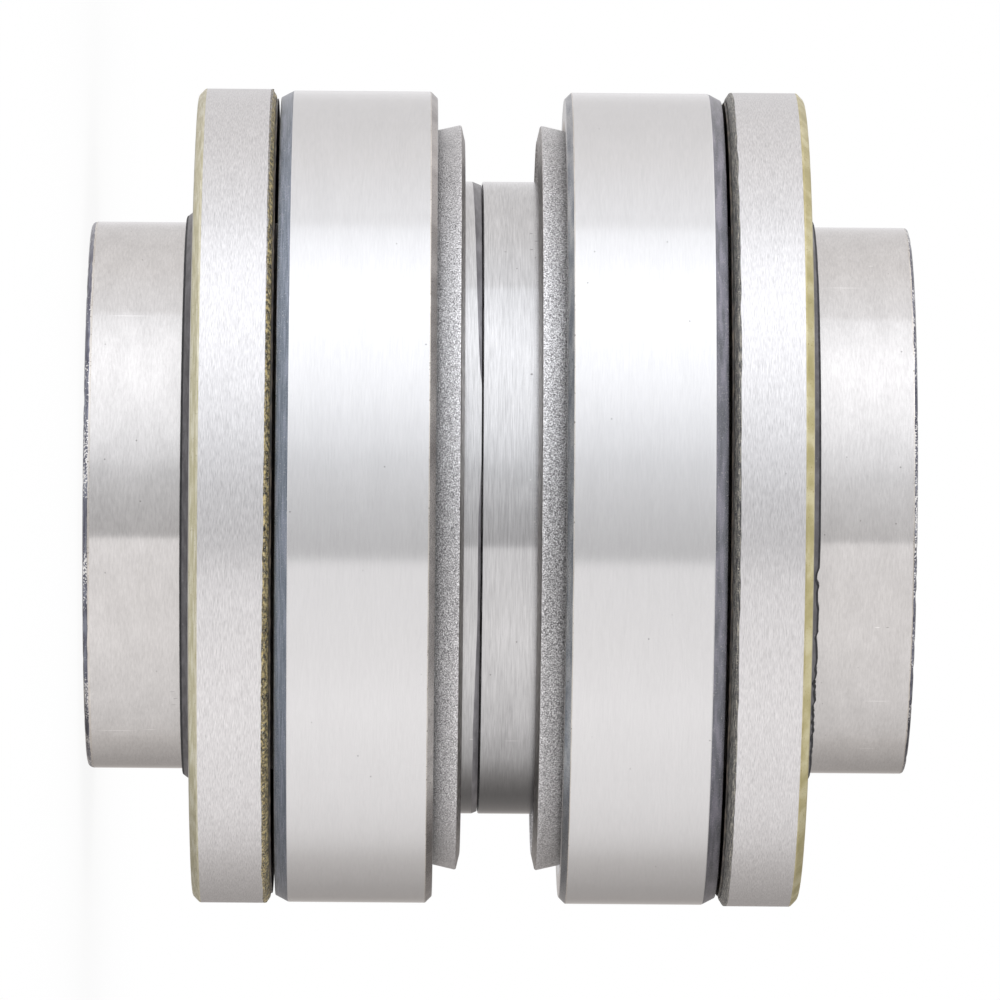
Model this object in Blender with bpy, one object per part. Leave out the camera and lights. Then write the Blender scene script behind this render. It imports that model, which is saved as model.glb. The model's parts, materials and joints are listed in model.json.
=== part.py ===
# Sealed tapered roller bearing set: two single rows placed face to face, each with its own
# inner ring, rollers, cage, cup and shaft seal. The set stands on the end of the lower hub.
# Units are metres and degrees, +Z runs along the shaft, and the origin is on the shaft's
# axis at the lower hub's end. "Out" is the distance from the mid-plane between the rows.

import math

import bmesh
import bpy
from mathutils import Euler

# Fits. Pieces that touch on the real set keep FIT_GAP between their faces.
FIT_GAP = 0.0003

# Inner ring: a plain hub outside the row, the raceway, and a high rib at the middle.
BORE_DIAMETER = 0.075
BORE_CHAMFER = 0.001
HUB_WALL = 0.00625
HUB_CHAMFER = 0.001
HUB_STANDOUT = 0.0152
SMALL_RIB_HEIGHT = 0.0012
SMALL_RIB_PLAY = 0.0004
BIG_RIB_HEIGHT = 0.0042
RIB_GROOVE_WIDTH = 0.0012
RIB_GROOVE_DEPTH = 0.0004

# The two inner rings meet a little below the mid-plane, and the lower one is bevelled there.
PARTING_OFFSET = 0.00317
PARTING_BEVEL_LENGTH = 0.0013
PARTING_BEVEL_DEPTH = 0.00055

# Rollers: tapered so that their axes and both raceways meet in one point on the shaft's axis.
ROLLERS_PER_ROW = 20
ROLLER_TILT = 12.5
ROLLER_SMALL_DIAMETER = 0.0118
ROLLER_CHAMFER = 0.0008
ROLLER_SETBACK = 0.0005
ROLLER_END_PLAY = 0.0019

# Cup: the outer ring.
CUP_SPACING = 0.0202
CUP_WIDTH = 0.025
CUP_FRONT_WALL = 0.005
CUP_FRONT_CHAMFER = 0.0011
CUP_RACEWAY_CHAMFER = 0.0006
CUP_BACK_CHAMFER_LENGTH = 0.0021
CUP_BACK_CHAMFER_DEPTH = 0.0011

# Cage: a cone pressed from thick sheet, punched for the rollers, with a flange at its small end.
CAGE_WALL = 0.003
CAGE_REACH = 0.0041
CAGE_EXTRA_TILT = 0.5
CAGE_CUP_CLEARANCE = 0.00115
CAGE_BACK_CLEARANCE = 0.0001
CAGE_HUB_CLEARANCE = 0.00125
POCKET_CLEARANCE = 0.0004

# Seal: a pressed steel case, a rubber ring bonded inside its face and a garter spring.
SEAL_CUP_GAP = 0.0008
SEAL_WIDTH = 0.0126
SEAL_STEP = 0.0002
SEAL_WALL = 0.0018
SEAL_FRONT_BEVEL_LENGTH = 0.00065
SEAL_FRONT_BEVEL_DEPTH = 0.001
SEAL_FACE_BEVEL = 0.0013
LIP_HEIGHT = 0.00825
LIP_STANDOUT = 0.0016
LIP_SETBACK = 0.003
LIP_EDGE_SETBACK = 0.0023
LIP_THICKNESS = 0.0015
LIP_TIP_THICKNESS = 0.0006
DUST_LIP_HEIGHT = 0.0018
RELIEF_DEPTH = 0.0012
RELIEF_SETBACK = 0.0049
SPRING_DIAMETER = 0.0016
SPRING_SETBACK = 0.0004
SPRING_CLEARANCE = 0.0006

# Fineness of the round forms.
RING_SIDES = 36
ROLLER_SIDES = 10
SPRING_SIDES = 5
SHARP_ANGLE = 20

# Radii and places that follow from the sizes above.
BORE_RADIUS = BORE_DIAMETER / 2
HUB_RADIUS = BORE_RADIUS + HUB_WALL
TILT = math.radians(ROLLER_TILT)

CUP_FRONT = CUP_SPACING / 2
CUP_BACK = CUP_FRONT + CUP_WIDTH
SEAL_FRONT = CUP_BACK + SEAL_CUP_GAP
SEAL_FACE = SEAL_FRONT + SEAL_WIDTH
HUB_END = SEAL_FACE + LIP_STANDOUT + HUB_STANDOUT
MID_HEIGHT = HUB_END

ROLLER_RUN = CUP_WIDTH - ROLLER_SETBACK - ROLLER_END_PLAY - CAGE_WALL - CAGE_BACK_CLEARANCE
ROLLER_LENGTH = ROLLER_RUN / math.cos(TILT)
LARGE_END = CUP_FRONT + ROLLER_SETBACK
SMALL_END = LARGE_END + ROLLER_RUN
SMALL_RADIUS = ROLLER_SMALL_DIAMETER / 2
SMALL_END_CIRCLE = HUB_RADIUS - SMALL_RIB_HEIGHT + FIT_GAP + SMALL_RADIUS * math.cos(TILT)
SMALL_END_SLANT = SMALL_END_CIRCLE / math.sin(TILT)
LARGE_RADIUS = SMALL_RADIUS * (SMALL_END_SLANT + ROLLER_LENGTH) / SMALL_END_SLANT
LARGE_END_CIRCLE = SMALL_END_CIRCLE + ROLLER_RUN * math.tan(TILT)
HALF_TAPER = math.atan2(SMALL_RADIUS, SMALL_END_SLANT)
APEX = SMALL_END + SMALL_END_CIRCLE / math.tan(TILT)


def cup_raceway(out):
    """Radius of the cup's raceway."""
    angle = TILT + HALF_TAPER
    return (APEX - out) * math.tan(angle) + FIT_GAP / math.cos(angle)


def cone_raceway(out):
    """Radius of the inner ring's raceway."""
    angle = TILT - HALF_TAPER
    return (APEX - out) * math.tan(angle) - FIT_GAP / math.cos(angle)


def end_plane(end, circle, radius, play):
    """Distance out of a plane square to the roller's axis, at one radius, play beyond its end."""
    return end + (radius - circle) * math.tan(TILT) + play / math.cos(TILT)


BIG_RIB_FOOT = end_plane(LARGE_END, LARGE_END_CIRCLE, cone_raceway(LARGE_END), -FIT_GAP)
RIB_RADIUS = cone_raceway(BIG_RIB_FOOT) + BIG_RIB_HEIGHT
CUP_RADIUS = cup_raceway(CUP_FRONT) + CUP_FRONT_WALL
SEAL_RADIUS = CUP_RADIUS + SEAL_STEP
CASE_EDGE = HUB_RADIUS + LIP_HEIGHT
LIP_FRONT = SEAL_FRONT + LIP_SETBACK
LIP_EDGE = LIP_FRONT + LIP_EDGE_SETBACK
LIP_EDGE_RADIUS = HUB_RADIUS + FIT_GAP
SPRING_SEAT_RADIUS = LIP_EDGE_RADIUS + LIP_THICKNESS + FIT_GAP
SPRING_RADIUS = SPRING_DIAMETER / 2
CAGE_ANGLE = TILT + math.radians(CAGE_EXTRA_TILT)
CAGE_MID_RADIUS = cup_raceway(CUP_FRONT) - CAGE_CUP_CLEARANCE - CAGE_WALL / 2 / math.cos(CAGE_ANGLE)


def cage_shell(out):
    """Radius of the middle of the cage's sheet."""
    return CAGE_MID_RADIUS - (out - CUP_FRONT) * math.tan(CAGE_ANGLE)


def steel(name, colour, roughness):
    return finish(name, colour, roughness, 1.0)


def finish(name, colour, roughness, metallic):
    material = bpy.data.materials.new(name)
    material.use_nodes = True
    shader = material.node_tree.nodes["Principled BSDF"]
    shader.inputs["Base Color"].default_value = (*colour, 1.0)
    shader.inputs["Roughness"].default_value = roughness
    shader.inputs["Metallic"].default_value = metallic
    return material


def finished_mesh(bm, name, material):
    """Turns a bmesh into a mesh with outward faces, smooth between its real edges."""
    bmesh.ops.recalc_face_normals(bm, faces=bm.faces)
    mesh = bpy.data.meshes.new(name)
    bm.to_mesh(mesh)
    bm.free()
    mesh.materials.append(material)
    mesh.shade_smooth()
    mesh.set_sharp_from_angle(angle=math.radians(SHARP_ANGLE))
    return mesh


def turned(name, section, material):
    """A ring turned about the shaft's axis from a closed section of (out, radius) points."""
    bm = bmesh.new()
    corners = [bm.verts.new((radius, 0, out)) for out, radius in section]
    edges = [bm.edges.new(pair) for pair in zip(corners, corners[1:] + corners[:1])]
    bmesh.ops.spin(
        bm, geom=corners + edges, axis=(0, 0, 1), cent=(0, 0, 0),
        angle=math.tau, steps=RING_SIDES, use_merge=True,
    )
    return finished_mesh(bm, name, material)


def inner_ring(name, parting, bevel_length, bevel_depth, material):
    """The hub, its raceway and the big rib, which ends at the parting plane."""
    small_rib = [
        (end_plane(SMALL_END, SMALL_END_CIRCLE, radius, SMALL_RIB_PLAY), radius)
        for radius in (HUB_RADIUS, HUB_RADIUS - SMALL_RIB_HEIGHT)
    ]
    groove_end = BIG_RIB_FOOT + RIB_GROOVE_WIDTH
    rib_corner = end_plane(LARGE_END, LARGE_END_CIRCLE, RIB_RADIUS, -FIT_GAP)
    section = [
        (HUB_END - BORE_CHAMFER, BORE_RADIUS),
        (HUB_END, BORE_RADIUS + BORE_CHAMFER),
        (HUB_END, HUB_RADIUS - HUB_CHAMFER),
        (HUB_END - HUB_CHAMFER, HUB_RADIUS),
        *small_rib,
        (groove_end, cone_raceway(groove_end)),
        (BIG_RIB_FOOT, cone_raceway(BIG_RIB_FOOT) - RIB_GROOVE_DEPTH),
        (rib_corner, RIB_RADIUS),
        (parting + bevel_length, RIB_RADIUS),
        (parting, RIB_RADIUS - bevel_depth),
        (parting, BORE_RADIUS + BORE_CHAMFER),
        (parting + BORE_CHAMFER, BORE_RADIUS),
    ]
    return turned(name, list(dict.fromkeys(section)), material)


def cup(material):
    """The outer ring, thin at its open front and thick at its back."""
    raceway_start = CUP_FRONT + CUP_RACEWAY_CHAMFER
    section = [
        (raceway_start, cup_raceway(raceway_start)),
        (CUP_FRONT, cup_raceway(CUP_FRONT) + CUP_RACEWAY_CHAMFER),
        (CUP_FRONT, CUP_RADIUS - CUP_FRONT_CHAMFER),
        (CUP_FRONT + CUP_FRONT_CHAMFER, CUP_RADIUS),
        (CUP_BACK - CUP_BACK_CHAMFER_LENGTH, CUP_RADIUS),
        (CUP_BACK, CUP_RADIUS - CUP_BACK_CHAMFER_DEPTH),
        (CUP_BACK, cup_raceway(CUP_BACK)),
    ]
    return turned("cup", section, material)


def roller(material):
    """A tapered roller about its own axis, its small end at +Z."""
    bm = bmesh.new()
    bmesh.ops.create_cone(
        bm, cap_ends=True, segments=ROLLER_SIDES,
        radius1=LARGE_RADIUS, radius2=SMALL_RADIUS, depth=ROLLER_LENGTH,
    )
    rims = [edge for edge in bm.edges if edge.verts[0].co.z * edge.verts[1].co.z > 0]
    bmesh.ops.bevel(bm, geom=rims, offset=ROLLER_CHAMFER, segments=1, affect="EDGES")
    return finished_mesh(bm, "roller", material)


def pocket_edge(end, circle, play):
    """Where a plane beyond the roller's end crosses the cage's sheet."""
    slope = math.tan(CAGE_ANGLE)
    rise = CAGE_MID_RADIUS + CUP_FRONT * slope - circle
    out = end + rise * math.tan(TILT) + play / math.cos(TILT)
    return out / (1 + slope * math.tan(TILT))


def pocket_half_angle(out):
    """Half the angle of a pocket that lets the roller turn, narrowest at the sheet's inside."""
    inside = cage_shell(out) - CAGE_WALL / 2 / math.cos(CAGE_ANGLE)
    along = (APEX - out) / math.cos(TILT)
    height = (inside - (APEX - out) * math.tan(TILT)) * math.cos(TILT)
    chord = math.sqrt((along * math.tan(HALF_TAPER)) ** 2 - height ** 2)
    return math.atan2(chord + POCKET_CLEARANCE, inside)


def cage(material):
    """A punched sheet: rows run from the large end to the flange, columns round the shaft."""
    large_edge = CUP_FRONT - CAGE_REACH
    first = pocket_edge(LARGE_END, LARGE_END_CIRCLE, -POCKET_CLEARANCE)
    last = pocket_edge(SMALL_END, SMALL_END_CIRCLE, POCKET_CLEARANCE)
    flange = CUP_BACK - CAGE_BACK_CLEARANCE - CAGE_WALL / 2
    rows = [(out, cage_shell(out)) for out in (large_edge, first, last, flange)]
    rows.append((flange, HUB_RADIUS + CAGE_HUB_CLEARANCE))
    pocket_row = 1
    half = max(pocket_half_angle(first), pocket_half_angle(last))
    pitch = math.tau / ROLLERS_PER_ROW
    columns = [
        index * pitch + offset for index in range(ROLLERS_PER_ROW) for offset in (-half, 0, half)
    ]

    bm = bmesh.new()
    grid = [
        [bm.verts.new((radius * math.cos(turn), radius * math.sin(turn), out)) for turn in columns]
        for out, radius in rows
    ]
    for row, (upper, lower) in enumerate(zip(grid, grid[1:])):
        for column, _ in enumerate(columns):
            following = (column + 1) % len(columns)
            over_bar = column % 3 == 2
            if row != pocket_row or over_bar:
                bm.faces.new((upper[column], upper[following], lower[following], lower[column]))
    sheet = bpy.data.objects.new("sheet", finished_mesh(bm, "sheet", material))
    bpy.context.scene.collection.objects.link(sheet)
    thicken = sheet.modifiers.new("sheet thickness", "SOLIDIFY")
    thicken.thickness = CAGE_WALL
    thicken.offset = 0
    thicken.use_even_offset = True
    thicken.use_quality_normals = True
    return with_modifiers(sheet)


def with_modifiers(helper):
    """The mesh that a helper object's modifiers make. The helper is removed."""
    graph = bpy.context.evaluated_depsgraph_get()
    mesh = bpy.data.meshes.new_from_object(helper.evaluated_get(graph))
    bpy.data.objects.remove(helper)
    mesh.set_sharp_from_angle(angle=math.radians(SHARP_ANGLE))
    return mesh


def seal_case(material):
    """The pressed steel shell: a wall that fits the housing and a face on the outside."""
    wall_inside = SEAL_RADIUS - SEAL_WALL
    section = [
        (SEAL_FRONT, wall_inside),
        (SEAL_FRONT, SEAL_RADIUS - SEAL_FRONT_BEVEL_DEPTH),
        (SEAL_FRONT + SEAL_FRONT_BEVEL_LENGTH, SEAL_RADIUS),
        (SEAL_FACE - SEAL_FACE_BEVEL, SEAL_RADIUS),
        (SEAL_FACE, SEAL_RADIUS - SEAL_FACE_BEVEL),
        (SEAL_FACE, CASE_EDGE),
        (SEAL_FACE - SEAL_WALL, CASE_EDGE),
        (SEAL_FACE - SEAL_WALL, wall_inside),
    ]
    return turned("seal_case", section, material)


def seal_lip(material):
    """The rubber ring: sealing lip inside, heel under the case, dust lip that stands out."""
    heel_top = CASE_EDGE - FIT_GAP
    heel_inside = SEAL_FACE - SEAL_WALL - FIT_GAP
    tip = SEAL_FACE + LIP_STANDOUT
    head_top = SPRING_SEAT_RADIUS + SPRING_RADIUS
    section = [
        (SEAL_FACE, heel_top),
        (SEAL_FACE, LIP_EDGE_RADIUS + DUST_LIP_HEIGHT),
        (tip, LIP_EDGE_RADIUS + LIP_TIP_THICKNESS),
        (tip, LIP_EDGE_RADIUS),
        (SEAL_FACE - RELIEF_SETBACK, LIP_EDGE_RADIUS + RELIEF_DEPTH),
        (LIP_EDGE, LIP_EDGE_RADIUS),
        (LIP_FRONT, LIP_EDGE_RADIUS + LIP_THICKNESS),
        (LIP_FRONT, head_top),
        (LIP_EDGE - SPRING_SETBACK, SPRING_SEAT_RADIUS),
        (heel_inside, LIP_EDGE_RADIUS + RELIEF_DEPTH + LIP_THICKNESS),
        (heel_inside, heel_top),
    ]
    return turned("seal_lip", section, material)


def garter_spring(material):
    """The closed ring of the garter spring, in its seat over the sealing edge."""
    centre_out = LIP_EDGE + SPRING_SETBACK
    centre_radius = SPRING_SEAT_RADIUS + SPRING_CLEARANCE + SPRING_RADIUS
    turns = [math.tau * side / SPRING_SIDES for side in range(SPRING_SIDES)]
    section = [
        (centre_out + SPRING_RADIUS * math.sin(turn), centre_radius + SPRING_RADIUS * math.cos(turn))
        for turn in turns
    ]
    return turned("garter_spring", section, material)


def place(name, mesh, row):
    piece = bpy.data.objects.new(name, mesh)
    bpy.context.scene.collection.objects.link(piece)
    piece.parent = row
    return piece


def place_rollers(side, mesh, row):
    """Each roller stands on its own axis, which leans towards the shaft's axis."""
    circle = (LARGE_END_CIRCLE + SMALL_END_CIRCLE) / 2
    out = (LARGE_END + SMALL_END) / 2
    for index in range(ROLLERS_PER_ROW):
        turn = math.tau * index / ROLLERS_PER_ROW
        piece = place(f"{side}_roller_{index + 1:02d}", mesh, row)
        piece.location = (circle * math.cos(turn), circle * math.sin(turn), out)
        piece.rotation_euler = Euler((0, -TILT, turn), "XYZ")


def build():
    for old in list(bpy.data.objects):
        bpy.data.objects.remove(old)

    ground = steel("ground bearing steel", (0.60, 0.59, 0.57), 0.28)
    pressed = steel("shot-blasted sheet steel", (0.36, 0.36, 0.36), 0.55)
    lapped = steel("lapped roller steel", (0.62, 0.62, 0.62), 0.18)
    brushed = steel("brushed case steel", (0.55, 0.56, 0.57), 0.42)
    wire = steel("spring wire", (0.45, 0.45, 0.45), 0.35)
    rubber = finish("nitrile rubber", (0.045, 0.045, 0.05), 0.6, 0.0)

    shared = {
        "cup": cup(ground),
        "cage": cage(pressed),
        "seal_case": seal_case(brushed),
        "seal_lip": seal_lip(rubber),
        "garter_spring": garter_spring(wire),
    }
    roller_mesh = roller(lapped)
    rings = {
        "lower": inner_ring(
            "lower_inner_ring", PARTING_OFFSET + FIT_GAP / 2,
            PARTING_BEVEL_LENGTH, PARTING_BEVEL_DEPTH, ground,
        ),
        "upper": inner_ring("upper_inner_ring", FIT_GAP / 2 - PARTING_OFFSET, 0, 0, ground),
    }
    facing = {"lower": math.pi, "upper": 0}

    for side, flip in facing.items():
        row = bpy.data.objects.new(f"{side}_row", None)
        bpy.context.scene.collection.objects.link(row)
        row.location = (0, 0, MID_HEIGHT)
        row.rotation_euler = (flip, 0, 0)
        place(f"{side}_inner_ring", rings[side], row)
        for piece_name, mesh in shared.items():
            place(f"{side}_{piece_name}", mesh, row)
        place_rollers(side, roller_mesh, row)


build()
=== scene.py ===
# Looks of the sealed tapered roller bearing set. It stands on the end of its lower hub.
# The photo's left half is the lower row, so the picture's up is -X and its right is +Z.
import json
import math

import bmesh
import bpy
from mathutils import Matrix, Vector, noise


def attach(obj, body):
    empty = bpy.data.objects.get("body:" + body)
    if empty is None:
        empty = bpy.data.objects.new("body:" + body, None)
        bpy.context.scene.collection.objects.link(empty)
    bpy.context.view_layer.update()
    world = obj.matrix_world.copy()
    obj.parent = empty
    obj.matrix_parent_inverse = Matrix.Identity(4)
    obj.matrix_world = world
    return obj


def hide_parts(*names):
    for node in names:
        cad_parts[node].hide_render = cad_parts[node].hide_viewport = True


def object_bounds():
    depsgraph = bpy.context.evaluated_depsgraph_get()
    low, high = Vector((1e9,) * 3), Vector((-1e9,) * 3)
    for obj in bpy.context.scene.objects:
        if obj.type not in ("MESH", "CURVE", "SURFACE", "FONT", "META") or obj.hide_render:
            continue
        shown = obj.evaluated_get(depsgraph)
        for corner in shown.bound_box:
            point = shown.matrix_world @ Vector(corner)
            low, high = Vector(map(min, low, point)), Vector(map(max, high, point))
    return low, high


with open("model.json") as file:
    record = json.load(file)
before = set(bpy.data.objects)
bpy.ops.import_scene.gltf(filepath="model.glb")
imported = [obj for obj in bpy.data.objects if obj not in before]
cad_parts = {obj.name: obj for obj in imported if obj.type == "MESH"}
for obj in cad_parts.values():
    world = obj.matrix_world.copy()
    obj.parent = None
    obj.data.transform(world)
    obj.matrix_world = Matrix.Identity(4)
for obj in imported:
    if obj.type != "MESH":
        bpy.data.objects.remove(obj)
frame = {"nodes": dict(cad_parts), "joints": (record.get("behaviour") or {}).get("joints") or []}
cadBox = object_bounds()
mm = 0.001
midHeight = (cadBox[0].z + cadBox[1].z) / 2
rows = {"lower": -1, "upper": 1}  # the way that each row faces, away from the middle
ringSides = 288  # sides of each turned ring
arcSteps = 3  # sides of each rounded corner of a section
wallLimit = 0.45  # a rounding takes up at most this share of the walls beside it
sharpAngle = 40  # degrees between two faces from which their edge stays sharp
near = 0.1  # mm: a point this near to a face lies on it
slack = 0.01  # mm: two sizes this near are the same one
print("frame loaded:", len(frame["nodes"]), "nodes")


def hexColour(text):
    # an sRGB hex colour as the linear values that a shader takes
    parts = [int(text[i:i + 2], 16) / 255 for i in (1, 3, 5)]
    return [c / 12.92 if c <= 0.04045 else ((c + 0.055) / 1.055) ** 2.4 for c in parts] + [1.0]


def addNode(tree, kind, settings=None, links=None):
    # settings are the node's own properties or unlinked sockets, links are other nodes' outputs
    node = tree.nodes.new(kind)
    for key, value in (settings or {}).items():
        if isinstance(key, str) and hasattr(node, key):
            setattr(node, key, value)
        else:
            node.inputs[key].default_value = value
    for key, output in (links or {}).items():
        tree.links.new(output, node.inputs[key])
    return node


def setStops(ramp, stops):
    elements = ramp.color_ramp.elements
    while len(elements) < len(stops):
        elements.new(1.0)
    for element, (position, colour) in zip(elements, sorted(stops)):
        element.position = position
        element.color = colour


def startMaterial(name):
    material = bpy.data.materials.new(name)
    material.use_nodes = True
    material.node_tree.nodes.clear()
    return material


def ringSpace(tree, lineLength, lineWidth):
    # Texture space for marks that run round the axis, as turning and grinding leave them.
    # Height plus radius counts across the marks, so walls, cones and flat faces all get them.
    place = addNode(tree, "ShaderNodeTexCoord").outputs["Object"]
    level = addNode(tree, "ShaderNodeVectorMath", {"operation": "MULTIPLY", 1: (1, 1, 0)},
                    {0: place})
    radius = addNode(tree, "ShaderNodeVectorMath", {"operation": "LENGTH"},
                     {0: level.outputs["Vector"]})
    parts = addNode(tree, "ShaderNodeSeparateXYZ", {}, {"Vector": place})
    across = addNode(tree, "ShaderNodeMath", {"operation": "ADD"},
                     {0: parts.outputs["Z"], 1: radius.outputs["Value"]})
    joined = addNode(tree, "ShaderNodeCombineXYZ", {},
                     {"X": parts.outputs["X"], "Y": parts.outputs["Y"], "Z": across.outputs[0]})
    long, wide = 1 / (lineLength * mm), 1 / (lineWidth * mm)
    return place, addNode(tree, "ShaderNodeMapping", {"Scale": (long, long, wide)},
                          {"Vector": joined.outputs[0]}).outputs[0]


# Bearing steel, through hardened and then ground. Fine lines round the ring spread the light
# along the shaft and keep it sharp round it, which gives clear bands across the walls. A real
# grinding line is about 0.02 mm wide and is drawn here 0.1 to 0.3 mm wide, to show.
# Sizes are in mm. drift is how much of the tone is broad and soft, against the fine lines.
# scratched and the painted shade after it say what the values of the scratches and of the painted
# shade are.
groundSteels = {
    # ground outside to fit the housing: even satin, with short lines and sharp bands of light
    "groundCupSteel": dict(
        dark="#d4d4d4", light="#dcdcdc", rough=(0.19, 0.22), brushing=1.0, lineLength=2.5,
        lineWidth=0.22, drift=0.35, speckGap=4.2, specks=0.5),
    # ground for the seal to run on: bright, with single handling marks
    "groundHubSteel": dict(
        dark="#c6c4c2", light="#dddbd9", rough=(0.12, 0.15), brushing=1.0, lineLength=1.4,
        lineWidth=0.26, drift=0.35, speckGap=3.6, specks=0.6, scratchRadius=43.75,
        darkScratches=((14.0, -45, 0.5, 0.05), (14.5, -47, 0.4, 0.05), (14.2, -49, 0.45, 0.05),
                       (126.2, -27, 0.3, 0.06)),
        paleScratches=((5.0, -58.4, 3.8, 0.09), (10.5, -58.0, 1.4, 0.07),
                       (125.0, -46.2, 2.4, 0.08), (124.0, -63.9, 1.8, 0.08),
                       (123.8, 58.0, 0.5, 0.12), (119.5, 50.0, 3.2, 0.07),
                       (124.6, -27.0, 0.5, 0.12), (7.0, 40.0, 4.0, 0.06)),
        # painted shade: the hub's lower side is darkened a little
        lowerShade=((0.1, 1.0), (0.3, 0.92), (0.65, 0.86), (0.78, 0.86), (0.83, 0.91), (0.87, 1.0))),
    # the finest ground wall, with painted shade that darkens its lower side most
    "groundRibSteel": dict(
        dark="#b8b8b8", light="#dbdbdb", rough=(0.10, 0.13), brushing=1.0, lineLength=4.0,
        lineWidth=0.18, drift=0.25, speckGap=3.6, specks=0.6, scratchRadius=50.64,
        darkScratches=((69.96, 55.4, 0.3, 0.12), (70.8, 53.0, 0.4, 0.1), (70.0, 50.5, 0.35, 0.12),
                       (71.2, 42.1, 0.4, 0.1), (65.9, 49.8, 0.25, 0.1), (70.0, 22.4, 0.25, 0.2)),
        paleScratches=((70.6, -4.2, 0.2, 0.12), (69.9, 3.2, 0.15, 0.12),
                       (67.5, -49.0, 1.6, 0.07), (61.2, -48.6, 0.5, 0.12)),
        lowerShade=((0.0, 1.0), (0.05, 0.9), (0.2, 0.87), (0.44, 0.88), (0.56, 0.82), (0.69, 0.76),
              (0.81, 0.57), (0.93, 0.14), (1.0, 0.09))),
    # ground inside with a small wheel, which leaves long even rings for the shaft to seat on
    "groundBoreSteel": dict(
        dark="#c2c1bf", light="#d9d8d6", rough=(0.17, 0.22), brushing=0.8, lineLength=50,
        lineWidth=0.24, drift=0.3, speckGap=4, specks=0.4),
    # honed with fine stones: almost a mirror, with long thin rings
    "honedRacewaySteel": dict(
        dark="#cbcbca", light="#d9d9d8", rough=(0.07, 0.11), brushing=0.5, lineLength=60,
        lineWidth=0.2, drift=0.4, speckGap=9, specks=0),
    # turned and left so: duller than the ground walls, with wider rings
    "turnedFaceSteel": dict(
        dark="#a9a9aa", light="#c9c9c8", rough=(0.20, 0.30), brushing=0.7, lineLength=60,
        lineWidth=0.30, drift=0.35, speckGap=4, specks=0.5),
    # lapped between plates: the smoothest of all, with barely a line
    "lappedRollerSteel": dict(
        dark="#cdcdcc", light="#dadada", rough=(0.06, 0.11), brushing=0.4, lineLength=9,
        lineWidth=0.22, drift=0.5, speckGap=9, specks=0),
    # sheet brushed round by a wheel: short pale streaks, soft bands
    "brushedCaseSteel": dict(
        dark="#c0bfbf", light="#ebeaea", rough=(0.28, 0.36), brushing=0.5, lineLength=1.2,
        lineWidth=0.10, drift=0.05, speckGap=5, specks=0.25),
    # drawn sheet with a zinc wash: long soft rings from the drawing die
    "drawnCaseSteel": dict(
        dark="#b3b2ac", light="#cfcec8", rough=(0.24, 0.34), brushing=0.5, lineLength=30,
        lineWidth=0.24, drift=0.45, speckGap=4, specks=0.4),
}
markTones = dict(dust="#5b5855", darkScratch="#6f6d6b", paleScratch="#f2f1ef")
noiseLow, noiseHigh = 0.3, 0.7  # nearly all values of a noise texture lie between these


def scratched(tree, place, colour, radius, scratches, tone):
    # single handling marks that run along the shaft, each (height, degrees from the camera's
    # side towards the picture's top, half length, half width) in mm
    solidShare, strength = 0.5, 0.75
    for height, degrees, reach, width in scratches:
        turn = math.radians(degrees)
        centre = Vector((-radius * math.sin(turn), -radius * math.cos(turn), height)) * mm
        size = Vector((1 / width, 1 / width, 1 / reach)) / mm
        local = addNode(tree, "ShaderNodeVectorMath",
                        {"operation": "MULTIPLY_ADD", 1: size, 2: -centre * size}, {0: place})
        away = addNode(tree, "ShaderNodeVectorMath", {"operation": "LENGTH"},
                       {0: local.outputs["Vector"]})
        depth = addNode(tree, "ShaderNodeMapRange",
                        {"From Min": solidShare, "From Max": 1.0, "To Min": strength,
                         "To Max": 0.0},
                        {"Value": away.outputs["Value"]})
        colour = addNode(tree, "ShaderNodeMix", {"data_type": "RGBA", 7: hexColour(tone)},
                         {0: depth.outputs[0], 6: colour}).outputs[2]
    return colour


def paintedLowerShade(tree, place, colour, radius, lowerShade):
    # painted shade, which darkens the picture's lower side of the ring. Each stop is (share of
    # the radius below the axis, share of the colour that is left).
    parts = addNode(tree, "ShaderNodeSeparateXYZ", {}, {"Vector": place})
    below = addNode(tree, "ShaderNodeMapRange", {"From Max": radius * mm},
                    {"Value": parts.outputs["X"]})
    shade = addNode(tree, "ShaderNodeValToRGB", {}, {"Fac": below.outputs[0]})
    setStops(shade, [(share, (left, left, left, 1)) for share, left in lowerShade])
    return addNode(tree, "ShaderNodeMix", {"data_type": "RGBA", "blend_type": "MULTIPLY", 0: 1.0},
                   {6: colour, 7: shade.outputs[0]}).outputs[2]


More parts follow.
